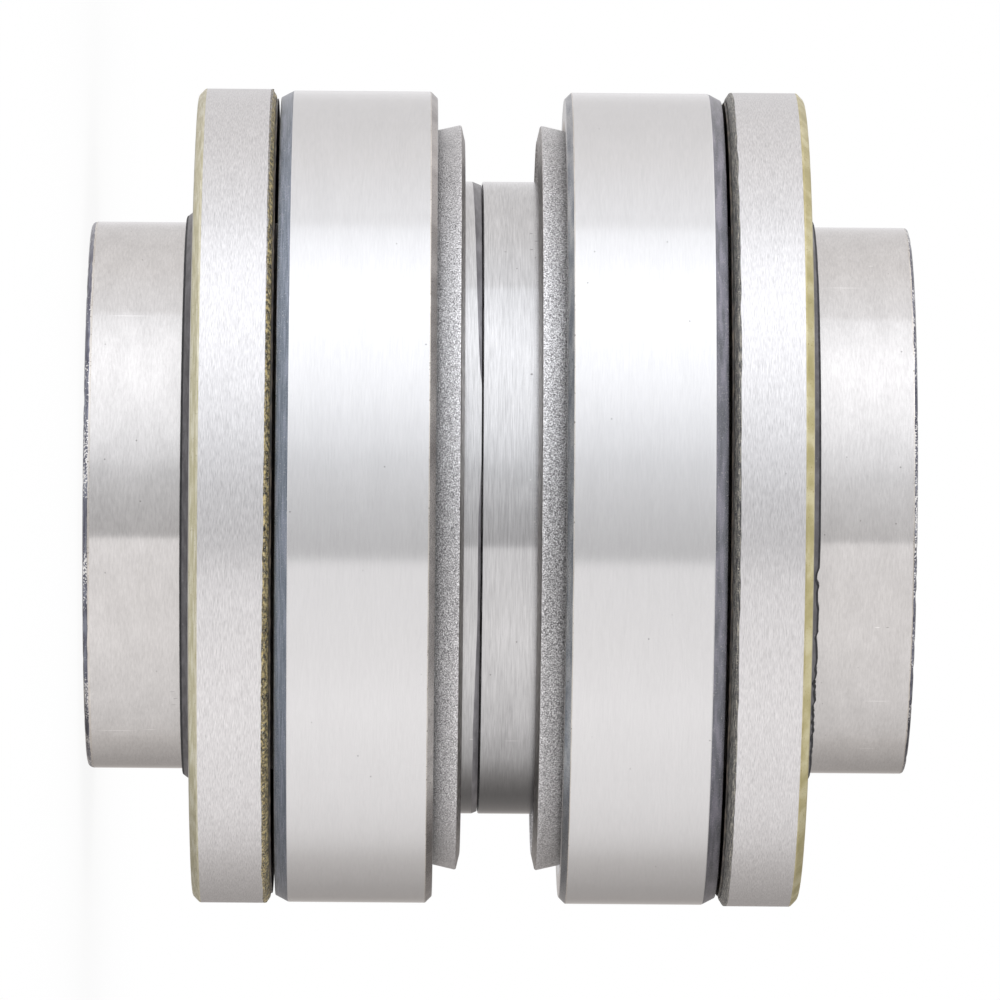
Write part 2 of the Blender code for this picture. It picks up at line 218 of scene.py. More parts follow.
def groundSteel(name, dark, light, rough, brushing, lineLength, lineWidth, drift, speckGap,
                specks, scratchRadius=0, darkScratches=(), paleScratches=(), lowerShade=()):
    material = startMaterial(name)
    tree = material.node_tree
    place, lines = ringSpace(tree, lineLength, lineWidth)
    thin = addNode(tree, "ShaderNodeTexNoise",
                   {"Scale": 1.0, "Detail": 3.0, "Roughness": 0.6}, {"Vector": lines})
    # the broad tone is five times as long as the lines and eleven times as wide
    wideSpace = addNode(tree, "ShaderNodeMapping", {"Scale": (0.2, 0.2, 0.09)},
                        {"Vector": lines})
    wide = addNode(tree, "ShaderNodeTexNoise", {"Scale": 1.0, "Detail": 2.0},
                   {"Vector": wideSpace.outputs[0]})
    blend = addNode(tree, "ShaderNodeMix", {"Factor": drift},
                    {"A": thin.outputs["Fac"], "B": wide.outputs["Fac"]})
    tone = addNode(tree, "ShaderNodeValToRGB", {}, {"Fac": blend.outputs[0]})
    setStops(tone, [(noiseLow, hexColour(dark)), (noiseHigh, hexColour(light))])
    # dust and small pits, which fade out between these two radii in mm
    speckCore, speckRim = 0.08, 0.16
    dots = addNode(tree, "ShaderNodeTexVoronoi", {"Scale": 1 / (speckGap * mm)},
                   {"Vector": place})
    speck = addNode(tree, "ShaderNodeMapRange",
                    {"From Min": speckCore / speckGap, "From Max": speckRim / speckGap,
                     "To Min": specks, "To Max": 0.0}, {"Value": dots.outputs["Distance"]})
    colour = addNode(tree, "ShaderNodeMix",
                     {"data_type": "RGBA", 7: hexColour(markTones["dust"])},
                     {0: speck.outputs[0], 6: tone.outputs[0]}).outputs[2]
    for scratches, mark in ((darkScratches, "darkScratch"), (paleScratches, "paleScratch")):
        colour = scratched(tree, place, colour, scratchRadius, scratches, markTones[mark])
    # painted shade on the ring's lower side
    if lowerShade:
        colour = paintedLowerShade(tree, place, colour, scratchRadius, lowerShade)
    gloss = addNode(tree, "ShaderNodeMapRange",
                    {"From Min": noiseLow, "From Max": noiseHigh, "To Min": rough[0],
                     "To Max": rough[1]}, {"Value": blend.outputs[0]})
    bump = addNode(tree, "ShaderNodeBump", {"Strength": 0.3, "Distance": 0.004 * mm},
                   {"Height": thin.outputs["Fac"]})
    tangent = addNode(tree, "ShaderNodeTangent", {"direction_type": "RADIAL", "axis": "Z"})
    shader = addNode(tree, "ShaderNodeBsdfPrincipled",
                     {"Metallic": 1.0, "Anisotropic": brushing, "Anisotropic Rotation": 0.25},
                     {"Base Color": colour, "Roughness": gloss.outputs[0],
                      "Normal": bump.outputs[0], "Tangent": tangent.outputs[0]})
    addNode(tree, "ShaderNodeOutputMaterial", {}, {"Surface": shader.outputs[0]})
    return material


# Surfaces that carry a second colour in patches: heat tint, shot-blast grain, passivation,
# rust, old grease, rubber bloom. grain is the patch width in mm and stretch how far it is
# drawn out round the ring; flecks of the marks' colour are fleck mm wide and hold about
# markShare, and gather in stretches about gather mm long where that is given.
mottledSurfaces = {
    # heat-tinted turned chamfers: slate blue on one cup, nearly violet on the other
    "blueTemperedSteel": dict(
        tones=("#6f7680", "#7d848e", "#8e93a0"), marks="#bcbdc2", markShare=0.07, grain=0.35,
        stretch=16, fleck=0.18, rough=0.30, relief=0.02),
    "violetTemperedSteel": dict(
        tones=("#707177", "#7e7e86", "#8f8d97"), marks="#c4c0be", markShare=0.07, grain=0.35,
        stretch=16, fleck=0.18, rough=0.30, relief=0.02),
    # the cups' front chamfers, turned: grey on one cup, bluer on the other
    "greyTurnedChamfer": dict(
        tones=("#96918f", "#a7a2a0", "#b8b3b0"), marks="#6b6765", markShare=0.06, grain=1.6,
        stretch=4, fleck=0.3, rough=0.28, relief=0.02),
    "blueTurnedChamfer": dict(
        tones=("#7f838a", "#93969b", "#a5a6a8"), marks="#5e5d5f", markShare=0.05, grain=1.6,
        stretch=4, fleck=0.3, rough=0.28, relief=0.02),
    # the rib's worn corner where the rings meet, rubbed along the ring: its dull dark grey is
    # partly worn steel and partly painted shade, standing in for the dark neighbours that the
    # corner reflects
    "wornRibCornerPaintedShade": dict(
        tones=("#6a696c", "#78777a", "#868588"), marks="#a09fa0", markShare=0.05, grain=0.6,
        stretch=8, fleck=0.2, rough=0.34, relief=0.02),
    # shot-blasted sheet: a dense sparkle of small craters, 0.2 mm or so each
    "shotBlastedCageSteel": dict(
        tones=("#807f80", "#cdcccd", "#ffffff"), marks="#706f71", markShare=0.14, grain=0.19,
        stretch=1, fleck=0.17, rough=0.30, relief=0.12),
    # edges that the punch sheared: warmer and plainer than the blasted sheet
    "shearedCageEdge": dict(
        tones=("#9a9694", "#b5b1ae", "#cfccc8"), marks="#e0dcd7", markShare=0.05, grain=0.3,
        stretch=5, fleck=0.3, rough=0.40, relief=0.05),
    # the hubs' rounded ends keep their slate heat tint, with stretches of bright chips
    "slateTemperedEdge": dict(
        tones=("#595964", "#6c6c78", "#868893"), marks="#eae8e6", markShare=0.12, grain=0.5,
        stretch=8, fleck=0.3, rough=0.22, relief=0.05, gather=8),
    # handled edge: a thin paler line where a ground wall meets its chamfer
    "wornSteelEdge": dict(
        tones=("#c4bfb8", "#cfcac3", "#d9d5cf"), marks="#948e85", markShare=0.08, grain=0.8,
        stretch=6, fleck=0.5, rough=0.24, relief=0.01),
    # yellow passivation on the cases' outer corners; half matt, so it pales towards grazing
    "strawPassivatedSteel": dict(
        tones=("#b7b193", "#c4bea3", "#d3cfbb"), marks="#978e68", markShare=0.06, grain=0.5,
        stretch=7, fleck=0.25, rough=0.40, metal=0.6, relief=0.01),
    "goldPassivatedSteel": dict(
        tones=("#b0a678", "#bdb387", "#cdc5a0"), marks="#8a7c4c", markShare=0.06, grain=0.5,
        stretch=7, fleck=0.25, rough=0.40, metal=0.6, relief=0.01),
    # dried grease and rust along the cases' front edges, with pale fibres caught in it
    "rustStainedCaseEdge": dict(
        tones=("#1f1b17", "#75694a", "#cbb982"), marks="#efe9d4", markShare=0.12, grain=0.24,
        stretch=2.5, fleck=0.14, rough=0.50, metal=0.4, relief=0.06),
    "greasyCaseEdge": dict(
        tones=("#333234", "#5f5f5f", "#98948a"), marks="#d6d1c0", markShare=0.11, grain=0.18,
        stretch=9, fleck=0.16, rough=0.45, metal=0.4, relief=0.05),
    # grease pressed into the gap beside the cup, in brown streaks round the ring; its near-black
    # tones are painted shade of the deep gap
    "gapGreaseAndPaintedShade": dict(
        tones=("#151413", "#2f2b27", "#655b4e"), marks="#8d8068", markShare=0.05, grain=0.3,
        stretch=9, fleck=0.2, rough=0.45, metal=0.0, relief=0.05),
    # inside of the cases: brown rust in soft patches
    "rustedCaseInside": dict(
        tones=("#3a302a", "#5a4a3c", "#746456"), marks="#8f7d68", markShare=0.1, grain=1.0,
        stretch=2, fleck=0.5, rough=0.60, metal=0.6, relief=0.04),
    # old grease on the hubs behind the seals, a dark brown film with a slight gloss
    "greaseFilmedSteel": dict(
        tones=("#3a3632", "#4c4742", "#5f5953"), marks="#7a7167", markShare=0.05, grain=1.2,
        stretch=3, fleck=0.4, rough=0.35, metal=0.2, relief=0.03),
    # moulded nitrile rubber, nearly matt, with a little grey bloom; torn where the flash came off
    "mouldedNitrileRubber": dict(
        tones=("#545255", "#625f62", "#727073"), marks="#8b898b", markShare=0.06, grain=1.0,
        stretch=3, fleck=0.3, rough=0.38, metal=0.0, relief=0.02),
    "tornNitrileRubber": dict(
        tones=("#161618", "#222225", "#323236"), marks="#5b5b60", markShare=0.05, grain=0.3,
        stretch=2, fleck=0.2, rough=0.65, metal=0.0, relief=0.05),
    # wire drawn through a die: even, dull grey and nearly smooth
    "drawnSpringWire": dict(
        tones=("#8d8c8a", "#a3a2a0", "#b7b6b3"), marks="#6b6967", markShare=0.05, grain=0.8,
        stretch=2, fleck=0.3, rough=0.30, relief=0.01),
}


def mottledSurface(name, tones, marks, markShare, grain, stretch, fleck, rough, relief, metal=1.0,
                   gather=0):
    material = startMaterial(name)
    tree = material.node_tree
    place, lines = ringSpace(tree, stretch * grain, grain)
    patches = addNode(tree, "ShaderNodeTexNoise", {"Scale": 1.0, "Detail": 3.0},
                      {"Vector": lines})
    tone = addNode(tree, "ShaderNodeValToRGB", {}, {"Fac": patches.outputs["Fac"]})
    firstTone, toneStep = 0.36, 0.14  # where the tones sit in the noise
    setStops(tone, [(firstTone + toneStep * step, hexColour(text))
                    for step, text in enumerate(tones)])
    flecks = addNode(tree, "ShaderNodeTexNoise",
                     {"Scale": 1 / (fleck * mm), "Detail": 2.0, "Roughness": 0.6},
                     {"Vector": place})
    # the noise hardly rises above noiseHigh, and a lower edge lets more of it through
    edge = noiseHigh - 0.9 * markShare
    marked = flecks.outputs["Fac"]
    if gather:
        weight = 0.8  # of the stretches beside the flecks; their noise is 0.5 on average
        stretches = addNode(tree, "ShaderNodeTexNoise",
                            {"Scale": 1 / (gather * mm), "Detail": 1.0}, {"Vector": place})
        marked = addNode(tree, "ShaderNodeMath", {"operation": "MULTIPLY_ADD", 1: weight},
                         {0: stretches.outputs["Fac"], 2: marked}).outputs[0]
        edge += weight / 2
    softness, spread = 0.06, 0.06  # of the flecks' edges, and of the roughness
    mark = addNode(tree, "ShaderNodeMapRange",
                   {"From Min": edge, "From Max": edge + softness}, {"Value": marked})
    colour = addNode(tree, "ShaderNodeMix", {"data_type": "RGBA", 7: hexColour(marks)},
                     {0: mark.outputs[0], 6: tone.outputs[0]})
    gloss = addNode(tree, "ShaderNodeMapRange",
                    {"From Min": noiseLow, "From Max": noiseHigh, "To Min": rough - spread,
                     "To Max": rough + spread}, {"Value": flecks.outputs["Fac"]})
    bump = addNode(tree, "ShaderNodeBump", {"Strength": 0.6, "Distance": relief * mm},
                   {"Height": flecks.outputs["Fac"]})
    shader = addNode(tree, "ShaderNodeBsdfPrincipled", {"Metallic": metal},
                     {"Base Color": colour.outputs[2], "Roughness": gloss.outputs[0],
                      "Normal": bump.outputs[0]})
    addNode(tree, "ShaderNodeOutputMaterial", {}, {"Surface": shader.outputs[0]})
    return material


materials = {name: groundSteel(name, **look) for name, look in groundSteels.items()}
materials |= {name: mottledSurface(name, **look) for name, look in mottledSurfaces.items()}
print("materials made:", len(materials))


def cornerPoint(start, corner, end, share):
    # a point on the curve that runs from start to end and is drawn towards the corner
    return start * (1 - share) ** 2 + corner * 2 * share * (1 - share) + end * share ** 2


def roundedSection(corners):
    # corners are (out, radius, rounding, surface of the wall that follows), in mm, going round
    # the section. Each corner becomes a short arc, which takes the worn edge's surface if the
    # corner names one as a fifth value. Gives [(out, radius, surface after it)].
    points = []
    for index, corner in enumerate(corners):
        here = Vector(corner[:2])
        before = Vector(corners[index - 1][:2])
        after = Vector(corners[(index + 1) % len(corners)][:2])
        into, away = before - here, after - here
        reach = min(corner[2], into.length * wallLimit, away.length * wallLimit)
        if reach <= 0:
            points.append((*here, corner[3]))
            continue
        start, end = here + into.normalized() * reach, here + away.normalized() * reach
        arcSurface = corner[4] if len(corner) > 4 else corners[index - 1][3]
        for step in range(arcSteps + 1):
            spot = cornerPoint(start, here, end, step / arcSteps)
            points.append((*spot, arcSurface if step < arcSteps else corner[3]))
    return points


def turnRing(name, side, corners, wobble=None):
    # turns the section about the shaft. wobble(out, radius, turn) gives (out, radius) changes.
    section = roundedSection(corners)
    surfaces = list(dict.fromkeys(point[2] for point in section))
    bm = bmesh.new()
    grid = []
    for out, radius, _ in section:
        ring = []
        for step in range(ringSides):
            turn = math.tau * step / ringSides
            dOut, dRadius = wobble(out, radius, turn) if wobble else (0, 0)
            reach = (radius + dRadius) * mm
            height = midHeight + rows[side] * (out + dOut) * mm
            ring.append(bm.verts.new((reach * math.cos(turn), reach * math.sin(turn), height)))
        grid.append(ring)
    for index, ring in enumerate(grid):
        following = grid[(index + 1) % len(grid)]
        for step in range(ringSides):
            beside = (step + 1) % ringSides
            face = bm.faces.new((ring[step], ring[beside], following[beside], following[step]))
            face.material_index = surfaces.index(section[index][2])
    return finishPiece(name, bm, surfaces)


def smoothMesh(name, bm, surfaces):
    bmesh.ops.recalc_face_normals(bm, faces=bm.faces)
    mesh = bpy.data.meshes.new(name)
    bm.to_mesh(mesh)
    bm.free()
    for surface in surfaces:
        mesh.materials.append(materials[surface])
    mesh.shade_smooth()
    mesh.set_sharp_from_angle(angle=math.radians(sharpAngle))
    return mesh


def addObject(name, data):
    piece = bpy.data.objects.new(name, data)
    bpy.context.scene.collection.objects.link(piece)
    return piece


def finishPiece(name, bm, surfaces):
    piece = addObject(name, smoothMesh(name, bm, surfaces))
    even = piece.modifiers.new("evenShading", "WEIGHTED_NORMAL")  # keeps the long walls straight
    even.keep_sharp = True
    return piece


def mount(piece, body, node):
    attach(piece, body)
    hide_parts(node)


def ripple(turn, seed, size):
    # smooth noise round the ring, from -1 to 1; size is the length of a bump in degrees. Each
    # seed reads the noise at its own level, too far from the next for the two to look alike.
    reach, seedGap = math.degrees(1) / size, 7.3
    return noise.noise(Vector((math.cos(turn) * reach, math.sin(turn) * reach, seed * seedGap)))


# Inner rings: hub, raceway and rib. The rings meet off the middle, and the lower one's corner
# is worn away there, widest at the picture's top. All in mm, out from the set's middle.
# hubEdge is the length and depth of the hub's rounded end, and the length that is tinted.
# worn: the full wear comes at the picture's top, from topFrom degrees above the camera's side,
# and part of it is lost behind. Each stretch of lowSide is (degrees where it begins, degrees
# until it is full, share of the full wear). A chip begins where the noise passes whole.
innerRing = dict(hubEnd=65.3, bore=37.5, hub=43.75, boreChamfer=1.0,
                 hubEdge={"lower": (1.1, 1.3, 0.7), "upper": (0.7, 1.0, 0.42)}, edgeSteps=6,
                 smallRib=(29.432, 29.166, 42.55), grooveEnd=(9.975, 46.207),
                 grooveFoot=(8.775, 46.04), ribCorner=(9.784, 50.64),
                 parting={"lower": 3.06, "upper": -2.94}, greaseEnd=40.6,
                 worn=dict(length=1.5, depth=0.6, topFrom=21, lostBehind=0.45,
                           lowSide=((6, 10, 0.28), (-22, 22, 0.3))),
                 chip=dict(depth=0.45, size=2.2, whole=0.25, wallShare=0.5),
                 tint=dict(waver=0.12, size=1.4, start=0.25))


def cornerWear(turn, worn):
    # share of the full wear, by degrees from the camera's side towards the picture's top
    up = (450 - math.degrees(turn)) % 360 - 180
    if up > 90:
        return 1 - worn["lostBehind"] * (up - 90) / 90
    if up > worn["topFrom"]:
        return math.sqrt((up - worn["topFrom"]) / (90 - worn["topFrom"]))
    return sum(share * min(1, max(0, (begin - up) / length))
               for begin, length, share in worn["lowSide"])


def hubEnd(shape, side):
    # the hub's end is rounded over to its ground wall, and its heat tint is left on the part
    # nearest to the end
    length, depth, tinted = shape["hubEdge"][side]
    points = []
    for step in range(shape["edgeSteps"]):
        share = step / shape["edgeSteps"]
        back = length * share ** 2
        surface = "slateTemperedEdge" if back < tinted else "wornSteelEdge"
        points.append((shape["hubEnd"] - back, shape["hub"] - depth * (1 - share) ** 2, 0,
                       surface))
    return points + [(shape["hubEnd"] - length, shape["hub"], 0, "groundHubSteel")]


for side in rows:
    shape = innerRing
    end, bore, hub = shape["hubEnd"], shape["bore"], shape["hub"]
    worn, chip, tint = shape["worn"], shape["chip"], shape["tint"]
    edgeLength, edgeDepth, _ = shape["hubEdge"][side]
    rib = shape["ribCorner"][1]
    parting = shape["parting"][side]
    corners = [
        (end - shape["boreChamfer"], bore, 0.15, "turnedFaceSteel"),
        (end, bore + shape["boreChamfer"], 0.15, "turnedFaceSteel"),
        *hubEnd(shape, side),
        (shape["greaseEnd"], hub, 0, "greaseFilmedSteel"),
        (shape["smallRib"][0], hub, 0.12, "turnedFaceSteel"),
        (shape["smallRib"][1], shape["smallRib"][2], 0.1, "honedRacewaySteel"),
        (*shape["grooveEnd"], 0.1, "turnedFaceSteel"),
        (*shape["grooveFoot"], 0.15, "honedRacewaySteel"),
        (*shape["ribCorner"], 0.25, "groundRibSteel"),
    ]
    if side == "lower":
        corners += [
            # the worn corner's dark grey is partly painted shade
            (parting + worn["length"], rib, 0, "wornRibCornerPaintedShade"),
            (parting, rib - worn["depth"], 0, "turnedFaceSteel"),
        ]
    else:
        corners += [(parting, rib, 0.3, "turnedFaceSteel")]
    corners += [
        (parting, bore + shape["boreChamfer"], 0.15, "turnedFaceSteel"),
        (parting + shape["boreChamfer"], bore, 0.15, "groundBoreSteel"),
    ]

    def wear(out, radius, turn):
        atCorner = radius > rib - worn["depth"] - slack and out < parting + worn["length"] + slack
        if side == "lower" and atCorner:
            kept = 1 - cornerWear(turn, worn)
            return ((-kept * worn["length"], 0) if out > parting + near
                    else (0, kept * worn["depth"]))
        if out < end - edgeLength + slack or radius < hub - edgeDepth - slack:
            return 0, 0
        # the ends were struck in handling: small chips of about 0.1 mm, and the tint's edge
        # runs unevenly
        bite = max(0, ripple(turn, rows[side], chip["size"]) - chip["whole"]) * chip["depth"]
        waver = tint["waver"] * ripple(turn, rows[side] + 4, tint["size"])
        slide = waver if out < end - tint["start"] else 0
        return (-bite, 0) if out > end - near else (slide, -bite * chip["wallShare"])

    ring = turnRing(f"{side}_innerRing_ground", side, corners, wear)
    mount(ring, "inner_rings", f"{side}_inner_ring")
print("inner rings turned")

# Cups: ground outside, heat-tinted chamfer at the back, small grey or blue one at the front.
cup = dict(front=10.1, back=35.1, radius=64.98, frontRaceway=59.986, backRaceway=53.751,
           racewayChamfer=0.6, racewayEdge=0.3, frontChamfer=1.1, backChamfer=(2.1, 1.1),
           chamfers={"lower": ("greyTurnedChamfer", "blueTemperedSteel"),
                     "upper": ("blueTurnedChamfer", "violetTemperedSteel")})
for side in rows:
    shape = cup
    front, back, outside = shape["front"], shape["back"], shape["radius"]
    chamfer, edge = shape["racewayChamfer"], shape["racewayEdge"]
    slope = (shape["frontRaceway"] - shape["backRaceway"]) / (back - front)
    frontSurface, backSurface = shape["chamfers"][side]
    corners = [
        (front + chamfer, shape["frontRaceway"] - slope * chamfer, 0.1, "turnedFaceSteel"),
        (front, shape["frontRaceway"] + chamfer, 0.1, "turnedFaceSteel"),
        (front, outside - shape["frontChamfer"], 0.15, frontSurface),
        (front + shape["frontChamfer"], outside, 0.1, "groundCupSteel", "wornSteelEdge"),
        (back - shape["backChamfer"][0], outside, 0.1, backSurface),
        (back, outside - shape["backChamfer"][1], 0.12, "turnedFaceSteel", backSurface),
        (back, shape["backRaceway"] + edge, 0.2, "turnedFaceSteel"),
        (back - edge, shape["backRaceway"] + edge * slope, 0.1, "honedRacewaySteel"),
    ]
    ring = turnRing(f"{side}_cup_ground", side, corners)
    mount(ring, f"{side}_cup", f"{side}_cup")
print("cups turned")

# Cages: one cone of sheet, punched for twenty rollers, with a flange turned in at its back.
# The last four values say where the sheet has rows of points between its corners.
cage = dict(edge=6.0, edgeRadius=58.243, tilt=13.0, wall=2.96, pockets=20,
            pocketFrom=11.106, pocketTo=31.348, pocketHalf=6.42, pocketRounding=0.3,
            flange=33.5, flangeInside=45.0, bend=2.2, bendSteps=5, edgeRounding=0.28,
            roundedFrom=50, bandRows=(0.9, 2.5), cornerRow=1.0, barRows=(15, 19, 23.5, 28),
            flangeRows=(3, 0.8, 0))


def cageRows(shape):
    # (out, radius) of the middle of the sheet from its front edge to the flange's inside
    tilt = math.radians(shape["tilt"])
    slope = math.tan(tilt)
    edge, punchedFrom, punchedTo = shape["edge"], shape["pocketFrom"], shape["pocketTo"]
    outs = [edge, *(edge + row for row in shape["bandRows"]), punchedFrom,
            punchedFrom + shape["cornerRow"], *shape["barRows"],
            punchedTo - shape["cornerRow"], punchedTo]
    points = [(out, shape["edgeRadius"] - (out - edge) * slope) for out in outs]
    corner = Vector((shape["flange"], shape["edgeRadius"] - (shape["flange"] - edge) * slope))
    reach = shape["bend"] * math.tan(math.radians(90 - shape["tilt"]) / 2)
    along = Vector((math.cos(tilt), -math.sin(tilt)))
    start, end = corner - along * reach, corner + Vector((0, -reach))
    steps = shape["bendSteps"]
    points += [tuple(cornerPoint(start, corner, end, step / steps)) for step in range(steps + 1)]
    return points + [(shape["flange"], shape["flangeInside"] + row)
                     for row in shape["flangeRows"]]


for side in rows:
    shape = cage
    sheetRows = cageRows(shape)
    pitch = 360 / shape["pockets"]
    half = shape["pocketHalf"]
    inPocket = [half * quarter / 4 for quarter in range(-4, 4)]
    overBar = [half + (pitch - 2 * half) * third / 3 for third in range(3)]
    columns = [(index * pitch + offset, offset) for index in range(shape["pockets"])
               for offset in inPocket + overBar]
    bm = bmesh.new()
    grid = []
    for out, radius in sheetRows:
        line = []
        for angle, offset in columns:
            turn, height = math.radians(angle), out
            if abs(offset) == half and out in (shape["pocketFrom"], shape["pocketTo"]):
                # the punch has rounded corners
                cut = shape["pocketRounding"]
                turn -= math.copysign(cut / radius, offset)
                height += cut if out == shape["pocketFrom"] else -cut
            height = midHeight + rows[side] * height * mm
            line.append(bm.verts.new((radius * mm * math.cos(turn),
                                      radius * mm * math.sin(turn), height)))
        grid.append(line)
    for row, (front, behind) in enumerate(zip(grid, grid[1:])):
        punched = shape["pocketFrom"] <= sheetRows[row][0] < shape["pocketTo"]
        for column, (_, offset) in enumerate(columns):
            beside = (column + 1) % len(columns)
            if not punched or offset >= half:
                bm.faces.new((front[column], front[beside], behind[beside], behind[column]))
    sheet = finishPiece(f"{side}_cage_pressed", bm, ["shotBlastedCageSteel", "shearedCageEdge"])
    thicken = sheet.modifiers.new("sheetThickness", "SOLIDIFY")
    thicken.thickness = shape["wall"] * mm
    thicken.offset = 0
    thicken.use_even_offset = True
    thicken.use_quality_normals = True
    thicken.material_offset_rim = 1
    rounding = sheet.modifiers.new("shearedEdge", "BEVEL")
    rounding.width = shape["edgeRounding"] * mm
    rounding.segments = 2
    rounding.limit_method = "ANGLE"
    rounding.angle_limit = math.radians(shape["roundedFrom"])
    sheet.modifiers.move(0, 2)  # the even shading comes last
    mount(sheet, f"{side}_cage", f"{side}_cage")
print("cages punched")

# Rollers: tapered, with rounded corners and a shallow dimple in the middle of each end.
# dimpleFoot is the bend between its floor and its rim, as shares of its radius and depth.
roller = dict(length=19.97, large=6.425, small=5.9, corner=0.8, cornerSteps=3, dimple=2.3,
              dimpleDepth=0.25, dimpleFoot=(0.7, 0.8), sides=40)


def rollerProfile(shape):
    # (height, radius) from the middle of the large end to the middle of the small one
    corner, depth = shape["corner"], shape["dimpleDepth"]
    footRadius, footDepth = shape["dimpleFoot"]
    profile = []
    for sign, radius in ((-1, shape["large"]), (1, shape["small"])):
        end = sign * shape["length"] / 2
        face = [(end - sign * depth, 0.0),
                (end - sign * depth * footDepth, shape["dimple"] * footRadius),
                (end, shape["dimple"]), (end, radius - corner)]
        for step in range(1, shape["cornerSteps"] + 1):
            turn = math.radians(90 * step / shape["cornerSteps"])
            face.append((end - sign * corner * (1 - math.cos(turn)),
                         radius - corner * (1 - math.sin(turn))))
        profile += face if sign < 0 else face[::-1]
    return profile


def rollerMesh(shape):
    bm = bmesh.new()
    rings = []
    for height, radius in rollerProfile(shape):
        count = shape["sides"] if radius > 0 else 1
        turns = [math.tau * step / count for step in range(count)]
        rings.append([bm.verts.new((radius * mm * math.cos(turn), radius * mm * math.sin(turn),
                                    height * mm)) for turn in turns])
    for low, high in zip(rings, rings[1:]):
        for step in range(shape["sides"]):
            beside = (step + 1) % shape["sides"]
            corners = [low[step % len(low)], low[beside % len(low)],
                       high[beside % len(high)], high[step % len(high)]]
            bm.faces.new(list(dict.fromkeys(corners)))
    return smoothMesh("taperedRoller", bm, ["lappedRollerSteel"])


sharedRoller = rollerMesh(roller)
for joint in frame["joints"]:
    name = joint["child"]
    if "_roller_" not in name:
        continue
    piece = addObject(f"{name}_lapped", sharedRoller)
    smallEnd = Vector(joint["axis"]) * rows[name.split("_")[0]]
    piece.matrix_world = (Matrix.Translation(joint["pos_m"])
                          @ smallEnd.to_track_quat("Z", "Y").to_matrix().to_4x4())
    mount(piece, name, name)
print("rollers set in their pockets")

# Seals: pressed case with a two-tone outer bevel, bonded rubber with a dust lip, coil spring.
# The stain's edge wavers in long bumps and in smaller short ones, all in degrees.
sealCase = dict(front=35.9, face=48.45, radius=65.18, wall=1.8, frontBevel=(0.65, 1.0),
                shoulder=(47.2, 0.25), corner=(48.3, 64.05), dishEnd=61.0, insideRadius=52.0,
                stain=dict(end=37.0, waver=0.12, long=4.0, short=1.2, shortShare=0.7,
                           lean={"lower": 0.4, "upper": 0.05}, leanFrom=0.5),
                grease=dict(proud=0.35, inside=60.6, top=63.6, foot=2.5, uneven=0.15, bump=2.5),
                tones={"lower": ("rustStainedCaseEdge", "strawPassivatedSteel"),
                       "upper": ("greasyCaseEdge", "goldPassivatedSteel")})
for side in rows:
    shape = sealCase
    stainSurface, yellow = shape["tones"][side]
    front, face, outside, wall = (shape[key] for key in ("front", "face", "radius", "wall"))
    stain, grease = shape["stain"], shape["grease"]
    greaseFront = front - grease["proud"]
    corners = [
        (front, grease["top"], 0, stainSurface),
        (front, outside - shape["frontBevel"][1], 0.2, stainSurface),
        (front + shape["frontBevel"][0], outside, 0.2, stainSurface),
        (stain["end"], outside, 0, "brushedCaseSteel"),
        (shape["shoulder"][0], outside, shape["shoulder"][1], yellow, yellow),
        (*shape["corner"], 0.4, "drawnCaseSteel", yellow),
        (face, shape["dishEnd"], 1.5, "drawnCaseSteel"),
        (face, shape["insideRadius"], 0.3, "drawnCaseSteel"),
        (face - wall, shape["insideRadius"], 0.2, "rustedCaseInside"),
        (face - wall, outside - wall, 0.6, "rustedCaseInside"),
        # the grease in the gap is darkened by painted shade of the gap
        (front + grease["foot"], outside - wall, 0, "gapGreaseAndPaintedShade"),
        (front, grease["inside"], 0.4, "gapGreaseAndPaintedShade"),
        (greaseFront, grease["inside"] + 1, 0.3, "gapGreaseAndPaintedShade"),
        (greaseFront, grease["top"], 0.15, "gapGreaseAndPaintedShade"),
    ]

    def stainEdge(out, radius, turn):
        # the grease in the gap is uneven, by about 0.1 mm
        if out < front - slack:
            return 0, grease["uneven"] * ripple(turn, rows[side] + 8, grease["bump"])
        # the stain's edge wanders along the case's wall, and is narrow at the picture's top
        if abs(out - stain["end"]) > slack or radius < outside - slack:
            return 0, 0
        waver = (ripple(turn, rows[side], stain["long"])
                 + stain["shortShare"] * ripple(turn, rows[side] + 5, stain["short"]))
        lean = min(0, stain["leanFrom"] - (1 - math.cos(turn))) * stain["lean"][side]
        return lean + stain["waver"] * waver, 0

    ring = turnRing(f"{side}_sealCase_pressed", side, corners, stainEdge)
    mount(ring, f"{side}_seal", f"{side}_seal_case")

